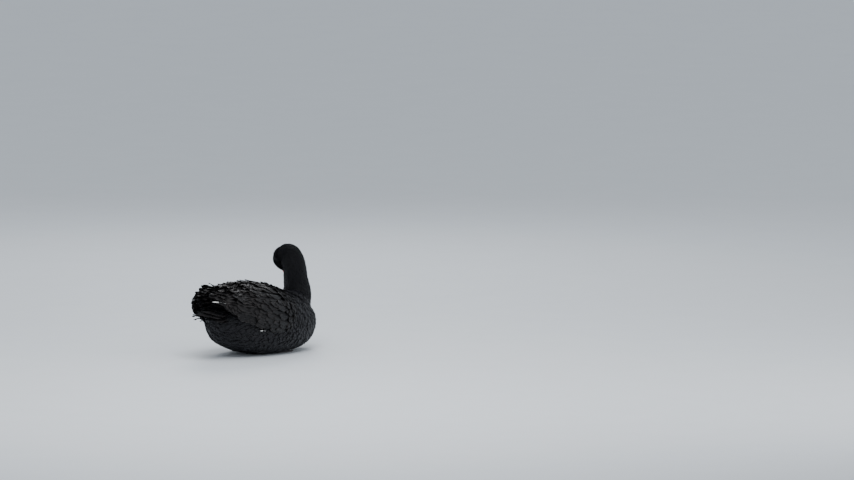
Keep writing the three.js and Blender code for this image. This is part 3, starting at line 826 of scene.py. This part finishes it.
def neck_chart(points):
    """Neck and head unrolled: the length from breast to bill across, and the turn round it upwards."""
    near = np.linalg.norm(points[:, None] - NECK_LINE[None, ::4], axis=2).argmin(1) * 4
    local = to_head(points)
    beyond = np.clip((local[:, 0] + 16) / 60, 0, 1)
    off = points - NECK_LINE[near]
    turn = np.arctan2((off * NECK_UP[near]).sum(1), (off * NECK_SIDE[near]).sum(1))
    along = NECK_SHARE[near] * 0.72 + beyond * 0.26
    return inset(np.stack([along, (turn / np.pi + 1) / 2], -1))


def wing_angle(points):
    """The angle up from the side of the body, in degrees, at the height of the folded wing."""
    return np.degrees(np.arctan2(points[:, 2] - WING["middle"](points[:, 0]), np.abs(points[:, 1])))


def under_wing(points):
    """True where the folded wings hide the skin."""
    x = points[:, 0]
    return (x < 12) & (x > -262) & (wing_angle(points) > np.interp(x, [-250, 0], [-4, 4]))


def round_eye(points):
    """True where the lids and the eye lie."""
    local = to_head(points)
    return np.hypot(local[:, 0] - EYE[0], local[:, 2] - EYE[2]) < 5.8 * (np.linalg.norm(local, axis=1) < 60)


def lengthwise(front_size, back_size, belly_size):
    """A size that grows from the breast to the flanks, and is smaller under the belly."""
    def size(points):
        back = smooth(230, 20, points[:, 0])
        value = front_size + (back_size - front_size) * back
        low = smooth(50, 10, points[:, 2])
        return value + (belly_size - value) * low
    return size


NECK_PARTS = dict(neck_low=(0.0, 0.56), neck_middle=(0.56, 0.78), neck_high=(0.78, 1.0))


def build_coat(skin):
    on_neck = lambda p: ways(p, np.zeros_like(p) + (0.0, 0.0, 1.0))
    rng = np.random.default_rng(5)

    def part(name):
        def wanted(points):
            _, share, neck, head = on_neck(points)
            upper = (neck > 0.5) | (head > 0.5)
            bare = (bare_share(points - 1.6 * HEAD_AXIS) > 0.5) | round_eye(points)
            if name == "head":
                return (head > 0.5) & ~bare
            if name in NECK_PARTS:
                low, high = NECK_PARTS[name]
                return (neck > 0.5) & (head <= 0.5) & (share > low) & (share <= high)
            body = ~upper & ~under_wing(points) & ~((over_feet(points) > 0.45) & (points[:, 2] < 30))
            if name == "breast":
                return body & (points[:, 0] > 95)
            side = points[:, 1] > 0
            return body & (points[:, 0] <= 95) & (side if name == "left" else ~side)
        return wanted

    body_sizes = dict(
        length=lengthwise(24, 36, 24), width=lengthwise(9.5, 17, 15), gap=lengthwise(5.4, 8.0, 9.0),
        rise=lengthwise(5.5, 7.5, 3), steps=6, across=4, finish=BODY_FEATHER, chart=trunk_chart, ruffle=0.3,
    )
    for name in ("breast", "left", "right"):
        coat("coat_" + name, skin, rng, part(name), **body_sizes)
    for name, length, width, gap, rise, steps in (
        ("neck_low", 15, 5.0, 3.5, 4.2, 5),
        ("neck_middle", 12, 3.6, 2.6, 4.8, 4),
        ("neck_high", 9.5, 2.8, 2.1, 5.4, 4),
    ):
        coat("coat_" + name, skin, rng, part(name), length=length, width=width, gap=gap, rise=rise,
             steps=steps, across=2, finish=NECK_FEATHER, chart=neck_chart)
    coat("coat_head", skin, rng, part("head"), length=6.5, width=2.0, gap=1.4, rise=3.2, steps=3, across=2,
         finish=NECK_FEATHER, chart=neck_chart, lift=-0.2)


# Folded wings: tiers of feathers on a guide surface, where s is the angle up from the side, in degrees

WING_LAY = dict(WING, back=WING_TIP - 90)
VANE_DEPTH = 7


def wing_guide(x, s, side):
    along = (2 * x - WING_LAY["back"] - WING_LAY["front"]) / (WING_LAY["front"] - WING_LAY["back"])
    points = form_point(WING_LAY, along, np.radians(180 - s), -VANE_DEPTH)
    return points * (1, side, 1)


def guide_out(x, s, side):
    here = wing_guide(x, s, side)
    back = wing_guide(x - 1, s, side) - here
    up = wing_guide(x, s + 1, side) - here
    return unit(np.cross(back, up) * side)


def tier(side, rng, count, root, tip, root_s, tip_s, width, rise, curl, sink=4.0, jitter=1.0, steps=14):
    """Lines of the feathers of one tier, from the lowest to the uppermost. root and tip are places along
    the body, root_s and tip_s angles up the side, each from the first feather to the last. The upper tips
    curl the most."""
    k = np.linspace(0, 1, count)[:, None]
    t = np.linspace(0, 1, steps + 1)[None, :]
    mix = lambda ends: ends[0] + (ends[1] - ends[0]) * k
    noise = lambda size: rng.normal(0, size * jitter, (count, 1))
    start, end = mix(root) + noise(3.0), mix(tip) + noise(6.0)
    low, high = mix(root_s) + noise(1.3), mix(tip_s) + noise(2.2)
    x = start + (end - start) * t
    s = low + (high - low) * t + noise(1.6) * np.sin(np.pi * t) + noise(2.6) * t**3
    centre, out = wing_guide(x, s, side), guide_out(x, s, side)
    stand = -sink + (sink + rise + noise(0.9)) * t**0.8
    stand = stand + curl * (0.3 + 0.7 * k) * np.clip(1 + noise(0.4), 0.1, 1.35) * t**4
    centre = centre + out * stand[..., None]
    chart = inset(np.concatenate([(start - WING_TIP) / (WING_FRONT - WING_TIP), (low + 40) / 140], 1))
    return centre, out, mix(width)[:, 0] * rng.uniform(0.9, 1.1, count), np.clip(chart, 0.01, 0.99)


def wing_tier(name, rng, lines, across, finish, slot, nodes=(), **shape):
    return finished(feathers(name, *lines[:3], across, lines[3], rng, **shape), finish, slot, *nodes)


def stacked(tiers):
    """Several tiers' lines as one set."""
    return [np.concatenate(parts) for parts in zip(*tiers)]


CURLED_TIERS = (
    # feathers, roots, tips, root angles, tip angles, rise, curl
    (15, (-110, -102), (-206, -192), (-15, 88), (-21, 85), 6.0, 3),
    (14, (-132, -124), (-232, -222), (-16, 88), (-21, 85), 3.0, 2),
    (14, (-156, -148), (-254, -250), (-17, 88), (-19, 84), 2.5, 3),
    (13, (-180, -174), (-274, -286), (-17, 88), (-16, 83), 7.0, 16),
    (12, (-200, -200), (-286, -306), (-17, 87), (-12, 80), 5.0, 9),
    (11, (-218, -230), (-296, -328), (-15, 86), (-6, 76), 1.0, 7),
    (9, (-234, -258), (-300, -346), (-12, 84), (0, 68), -2.0, 6),
    (7, (-250, -282), (-304, -356), (-4, 80), (6, 58), -6.0, 5),
    (9, (-216, -236), (-302, -348), (-10, 78), (0, 62), -10, 4),
    (8, (-216, -236), (-306, -344), (0, 76), (8, 60), -18, 4),
    (7, (-216, -236), (-308, -342), (4, 72), (14, 60), -27, 4),
    (6, (-216, -236), (-306, -336), (8, 70), (20, 60), -39, 4),
)


RIGHT_CURL = 0.5  # the right wing lies flatter than the left


def build_wing(side):
    rng = np.random.default_rng(21 if side > 0 else 34)
    hand = "left" if side > 0 else "right"
    lap = -0.2 * side
    small = []
    for i in range(6):
        x = 66 - 16 * i
        small.append(tier(side, rng, 19, (x, x + 6), (x - 42, x - 36), (-6 - i, 88), (-17, 82), (17, 19),
                          7.5, 0.5, sink=2.5, steps=8))
    wing_tier("wing_%s_lesser_coverts" % hand, rng, stacked(small), 6, WING_FEATHER, "wing_feather",
              twist=0.5 * lap, ruffle=0.25)
    coverts = []
    for i in range(4):
        x = -28 - 24 * i
        reach = 76 + 6 * i
        coverts.append(tier(side, rng, 15, (x, x + 6), (x - reach, x - reach + 8), (-12, 88), (-19, 84),
                            (25, 28), 7.5, 1.5 + i, sink=3.0, steps=14))
    wing_tier("wing_%s_coverts" % hand, rng, stacked(coverts), 8, WING_FEATHER, "wing_feather",
              twist=0.8 * lap, ruffle=1.0, split=0.25)
    ruffled = 1.0 if side > 0 else RIGHT_CURL
    curled = [
        tier(side, rng, count, root, tip, root_s, tip_s, (28, 31), rise, curl * ruffled,
             sink=max(4.0, -rise), jitter=1.3, steps=22)
        for count, root, tip, root_s, tip_s, rise, curl in CURLED_TIERS
    ]
    wing_tier("wing_%s_curled" % hand, rng, stacked(curled), 10, WING_FEATHER, "wing_feather",
              ("wing_" + hand,), twist=1.2 * lap, ruffle=3.6, waves=2.8, camber=0.05, outline=CURLED,
              rounding=0.3, thickness=0.5, split=0.4)
    quills = [tier(side, rng, 5, (-196, -226), (-262, -356), (-8, 18), (-2, 28), (13, 6), -4, 0,
                   jitter=0.3, steps=20)]
    if side < 0:
        quills.append(tier(side, rng, 1, (-148, -148), (-168, -168), (-29.5, -29.5), (-33, -33), (4, 4),
                           7, 0, sink=-5, jitter=0.1, steps=20))
    wing_tier("wing_%s_quills" % hand, rng, stacked(quills), 6, WHITE_FEATHER, "white_quill",
              twist=lap, outline=QUILL, thickness=0.5)


# Tail: a fan, the middle feathers uppermost, with coverts over and under

def tail_lines(rng, count, root, tip, spread_root, spread_tip, drop, height, width, rise, steps=18):
    """Lines of a fan of feathers, from the right to the left of the tail."""
    k = np.linspace(-1, 1, count)[:, None]
    t = np.linspace(0, 1, steps + 1)[None, :]
    y = (spread_root + (spread_tip - spread_root) * t) * k + rng.normal(0, 0.8, (count, 1)) * t
    x = root + (tip + drop * k * k + rng.normal(0, 1.5, (count, 1)) - root) * t
    z = height - 0.0022 * y * y + 0.02 * (x + 300) - 7 * np.abs(k) + rise * t**0.8
    centre = np.stack([x, y, z], -1)
    out = np.broadcast_to((0.0, 0.0, 1.0), centre.shape) + np.stack([0 * y, 0.0044 * y, 0 * y], -1)
    chart = inset(np.concatenate([(k + 1) / 2, np.full_like(k, (root - TAIL_TIP) / 200)], 1))
    return centre, unit(out), np.full(count, float(width)), np.clip(chart, 0.01, 0.99), k[:, 0]


def build_tail():
    rng = np.random.default_rng(8)
    fans = [
        tail_lines(rng, 22, -250, TAIL_TIP + 8, 24, 50, 36, 165, 22, 0),
        tail_lines(rng, 13, -244, -352, 28, 54, 16, 168, 24, 4),
        tail_lines(rng, 11, -232, -322, 30, 50, 10, 171, 24, 7),
        tail_lines(rng, 10, -224, -316, 28, 46, 10, 180, 24, 6),
        tail_lines(rng, 9, -216, -300, 26, 42, 8, 188, 24, 6),
        tail_lines(rng, 8, -208, -286, 24, 36, 6, 198, 24, 6),
        tail_lines(rng, 11, -240, -350, 30, 50, 14, 156, 26, -3),
        tail_lines(rng, 9, -232, -318, 30, 46, 10, 148, 26, -4),
    ]
    centre, out, width, chart, k = (np.concatenate(part) for part in zip(*fans))
    made = feathers("tail_feathers", centre, out, width, 8, chart, rng, outline=QUILL, twist=0.14 * k,
                    ruffle=1.6, thickness=0.5, camber=0.05, split=0.35)
    finished(made, WING_FEATHER, "wing_feather", "tail")


# Bill, eyes and lids, in the head's own frame

NOSTRIL = np.array([58, 9.8, 1.2])
NOSTRIL_REACH = (6.0, 9.0, 2.3)


def bill_half(name, form, nostrils):
    """One half of the bill. The upper half has the nostrils, the nail and a rim along its cutting edge."""
    rings = form_rings(form, 120, 96, 0.0)
    local = rings.copy()
    # The nostril mask marks where the bill is painted near black: painted shade inside the nostril openings.
    hollow = np.zeros(rings.shape[:2])
    if nostrils:
        for side in (1, -1):
            off = (rings - NOSTRIL * (1, side, 1)) / NOSTRIL_REACH
            far = np.sqrt((off ** 2).sum(-1))
            lip = 0.45 * np.exp(-((far - 1.15) / 0.25) ** 2)
            local[..., 1] -= side * (3.2 * smooth(1.0, 0.45, far) - lip)
            hollow = np.maximum(hollow, smooth(0.85, 0.55, far))
        nail = smooth(99, 103, rings[..., 0]) * smooth(8.5, 6.5, np.abs(rings[..., 1]))
        local[..., 2] += 0.7 * nail * (rings[..., 2] > -12)
        rim = np.exp(-((rings[..., 2] + 8.6 + 0.05 * (rings[..., 0] - 40)) / 1.1) ** 2)
        local[..., 1] += np.sign(rings[..., 1]) * 0.35 * rim
    points, faces = loft(local)
    made = mesh_object(name, from_head(points) * MM, faces, None, {
        "along": np.append(rings[..., 0].ravel(), [form["back"], form["front"]]),
        "hollow": np.append(hollow.ravel(), [0, 0]),
    })
    return face_out(made)


EYE_SUNK = 0.8
EYE_SIDES = 48
LID_OPENING = (0.78, 0.6)
LID_RIM = 0.1
LID_SECTION = (  # angle out from the opening, distance from the eye's middle
    (0.0, 6.9), (0.0, 7.25), (0.02, 7.6), (0.07, 7.8), (0.12, 7.75), (0.16, 7.55), (0.21, 7.7),
    (0.27, 7.6), (0.31, 7.4), (0.36, 7.45), (0.44, 7.25), (0.56, 6.8), (0.7, 6.3), (0.7, 5.8),
)


def eye_parts(side):
    """An eyeball that bulges at its cornea, and the lids round it with an almond opening."""
    hand = "left" if side > 0 else "right"
    centre = (EYE - (0, EYE_SUNK, 0)) * (1, side, 1)
    axis = unit(np.array([0.22, side, 0.02]))
    along = unit(np.cross(axis, (0.0, 0.0, 1.0))) * side
    up = np.cross(along, axis) * side
    turn = np.linspace(0, 2 * np.pi, EYE_SIDES, endpoint=False)

    spoke = along * np.cos(turn)[:, None] + up * np.sin(turn)[:, None]

    def ring(theta, radius):
        theta = np.broadcast_to(theta, len(turn))[:, None]
        return centre + radius * (axis * np.cos(theta) + spoke * np.sin(theta))

    theta = np.linspace(0.01, np.pi - 0.01, 44)
    swell = EYE_RADIUS - 0.1 + 0.55 * smooth(0.75, 0.2, theta)
    rings = np.stack([ring(a, r) for a, r in zip(theta, swell)])
    points, faces = loft(rings)
    ball = mesh_object("eye_%s_ball" % hand, from_head(points) * MM, faces, None,
                       {"off_axis": np.append(np.repeat(theta, EYE_SIDES), [0, np.pi])})
    finished(face_out(ball), eye_finish_made, "red_eye", "eye_" + hand)

    opening = 1 / np.sqrt((np.cos(turn) / LID_OPENING[0]) ** 2 + (np.sin(turn) / LID_OPENING[1]) ** 2)
    rings = np.stack([ring(opening + off, radius) for off, radius in LID_SECTION])
    count = len(LID_SECTION)
    faces = np.vstack([ring_faces(count, EYE_SIDES), shut_ring(count, EYE_SIDES)])
    edge = np.repeat([1.0 if off < LID_RIM else 0.0 for off, _ in LID_SECTION], EYE_SIDES)
    lids = mesh_object("lids_" + hand, from_head(rings.reshape(-1, 3)) * MM, faces, None, {"rim": edge})
    finished(face_out(lids), lid_finish_made, "red_bill")


def shut_ring(rings, sides):
    """Faces from the last ring back to the first, which close a hoop."""
    j = np.arange(sides)
    k = (j + 1) % sides
    last = (rings - 1) * sides
    return np.stack([last + j, last + k, k, j], -1)


# Legs and feet, folded under the belly

LEG_LINE = rounded_line(np.array([(-104.0, 52, 17), (-70, 54, 11), (-30, 56, 8)]), 40)
LEG_RADIUS = profile([(0, 11), (0.2, 8), (0.6, 6.5), (1, 8)])
TOES = ((-15, 74), (2, 92), (19, 84))
TOE_ROOT = np.array([-28.0, 56.0])
CLAW_START = 0.86


def toe_line(turn, length):
    way = np.array([math.cos(math.radians(turn)), math.sin(math.radians(turn))])
    end = TOE_ROOT + way * length * 1.06
    middle = (TOE_ROOT + end) / 2
    return rounded_line(np.array([(TOE_ROOT[0] - 4, TOE_ROOT[1], 6.2), (*middle, 3.9), (*end, 2.2)]), 60)


def on_floor(rings):
    rings[..., 2] = np.maximum(rings[..., 2], 0.3)
    return rings


def web_sheet():
    """The webs between the toes: a thin closed sheet that sags between them to a curved edge."""
    lines = [toe_line(*toe) for toe in TOES]
    rows, cols = 26, 12
    parts = []
    for one, other in zip(lines, lines[1:]):
        v = np.linspace(0, 1, cols + 1)[None, :, None]
        reach = 51 - 9 * np.sin(np.pi * v[..., 0])
        t = np.linspace(0, 1, rows + 1)[:, None] * reach
        pick = lambda line: np.stack([np.interp(t, np.arange(len(line)), line[:, k]) for k in range(3)], -1)
        sheet = pick(one) * (1 - v) + pick(other) * v
        fold = 0.35 * np.sin(7 * np.pi * v[..., 0]) * np.sin(np.pi * v[..., 0])
        sheet[..., 2] = 1.5 + 0.5 * (sheet[..., 2] - 2) + fold - 0.5 * np.sin(np.pi * v[..., 0])
        upper, lower = sheet.copy(), sheet.copy()
        upper[..., 2] = np.maximum(upper[..., 2] + 0.45, 1.0)
        lower[..., 2] = np.maximum(lower[..., 2] - 0.45, 0.3)
        top = np.arange((rows + 1) * (cols + 1)).reshape(rows + 1, cols + 1)
        under = top + top.size
        rim = np.concatenate([top[0, :-1], top[:-1, -1], top[-1, :0:-1], top[:0:-1, 0]])
        after = np.roll(rim, -1)
        walls = np.stack([rim, after, after + top.size, rim + top.size], -1)
        faces = np.vstack([grid_faces(top), grid_faces(under)[:, ::-1], walls])
        parts.append((np.vstack([upper.reshape(-1, 3), lower.reshape(-1, 3)]), faces))
    return merged(parts)


def build_leg(side):
    hand = "left" if side > 0 else "right"
    flip = np.array([1.0, side, 1.0])
    share = np.linspace(0, 1, len(LEG_LINE))
    points, faces = loft(on_floor(tube_rings(LEG_LINE, LEG_RADIUS(share) - 0.3, 28)))
    leg = mesh_object("shank_" + hand, points * flip * MM, faces)
    finished(face_out(leg), foot_finish_made, "black_skin", "leg_" + hand)
    toes, claws = [], []
    for toe in TOES:
        line = toe_line(*toe)
        share = np.linspace(0, 1, len(line))
        radius = profile([(0, 5.4), (CLAW_START, 3.2), (1, 2.6)])(share)
        radius = radius + 0.35 * np.cos(share * 6.28 * 3.5) * smooth(0.98, 0.7, share)
        until = int(len(line) * 0.92)
        toes.append(loft(on_floor(tube_rings(line[:until], radius[:until], 20))))
        claw = line[int(len(line) * CLAW_START):].copy()
        grow = np.linspace(0, 1, len(claw))
        claw[:, 2] += 1.3 * np.sin(np.pi * grow) - 0.6 * grow
        claws.append(loft(on_floor(tube_rings(claw, 3.1 - 2.7 * grow**1.3, 16, 0.75))))
    points, faces = merged(toes + [web_sheet()])
    foot = mesh_object("toes_" + hand, points * flip * MM, faces)
    finished(face_out(foot), foot_finish_made, "black_skin", "foot_" + hand)
    points, faces = merged(claws)
    claw = mesh_object("claws_" + hand, points * flip * MM, faces)
    finished(face_out(claw), claw_finish_made, "black_skin")


# Stage, light and camera

HEADING = math.radians(53)  # between the swan's heading and the picture
LOOK_DOWN = math.radians(7)
PIXELS_PER_METRE = 290.0
PHOTO_WIDTH, PHOTO_HEIGHT = 854, 480
ORIGIN_PIXEL = (264.0, 351.2)  # where the middle of the belly falls in the photograph
SENSOR = 36.0
CAMERA_AWAY = 50.0  # far off, as through a long lens


def build_camera():
    right = Vector((math.cos(HEADING), -math.sin(HEADING), 0))
    away = Vector((math.sin(HEADING), math.cos(HEADING), 0))
    back = -math.cos(LOOK_DOWN) * away + math.sin(LOOK_DOWN) * Vector((0, 0, 1))
    up = math.sin(LOOK_DOWN) * away + math.cos(LOOK_DOWN) * Vector((0, 0, 1))
    aim = right * ((PHOTO_WIDTH / 2 - ORIGIN_PIXEL[0]) / PIXELS_PER_METRE)
    aim += up * ((ORIGIN_PIXEL[1] - PHOTO_HEIGHT / 2) / PIXELS_PER_METRE)
    camera = bpy.data.cameras.new("camera")
    camera.sensor_width = SENSOR
    camera.lens = CAMERA_AWAY * SENSOR * PIXELS_PER_METRE / PHOTO_WIDTH
    camera.clip_end = 400
    placed = bpy.data.objects.new("camera", camera)
    placed.location = back * CAMERA_AWAY
    placed.rotation_euler = (aim - placed.location).to_track_quat("-Z", "Y").to_euler()
    bpy.context.scene.collection.objects.link(placed)
    bpy.context.scene.camera = placed


def build_stage():
    reach = 160.0
    corners = [(-reach, -reach, 0), (reach, -reach, 0), (reach, reach, 0), (-reach, reach, 0)]
    floor = mesh_object("floor", corners, [(0, 1, 2, 3)])
    floor.data.materials.append(floor_finish())
    world = bpy.data.worlds.new("studio")
    world.use_nodes = True
    world.node_tree.nodes["Background"].inputs[0].default_value = (0.82, 0.87, 0.93, 1)
    world.node_tree.nodes["Background"].inputs[1].default_value = 0.75
    bpy.context.scene.world = world
    for name, place, size, power in (
        ("key", (-1.6, -1.2, 3.2), 2.2, 95.0),
        ("rim", (2.6, 1.8, 2.4), 1.6, 36.0),
        ("fill", (0.6, -3.2, 1.3), 2.4, 26.0),
    ):
        light = bpy.data.lights.new(name, "AREA")
        light.size = size
        light.energy = power
        lamp = bpy.data.objects.new(name, light)
        lamp.location = place
        lamp.rotation_euler = (Vector((-0.05, 0, 0.15)) - Vector(place)).to_track_quat("-Z", "Y").to_euler()
        bpy.context.scene.collection.objects.link(lamp)


eye_finish_made, lid_finish_made = eye_finish(), lid_finish()
foot_finish_made, claw_finish_made = foot_finish(), claw_finish()
build_camera()
build_stage()
skin_piece = finished(build_skin(), skin_finish(), "black_feather", "torso", "neck_lower", "neck_middle",
                      "neck_upper", "head")
build_coat(Surface(skin_piece))
for wing_side in (1, -1):
    build_wing(wing_side)
build_tail()
horn = bill_finish()
finished(bill_half("bill_upper_horn", UPPER_BILL, True), horn, "red_bill", "bill_upper")
finished(bill_half("bill_lower_horn", LOWER_BILL, False), horn, "red_bill", "bill_lower")
for body_side in (1, -1):
    eye_parts(body_side)
    build_leg(body_side)
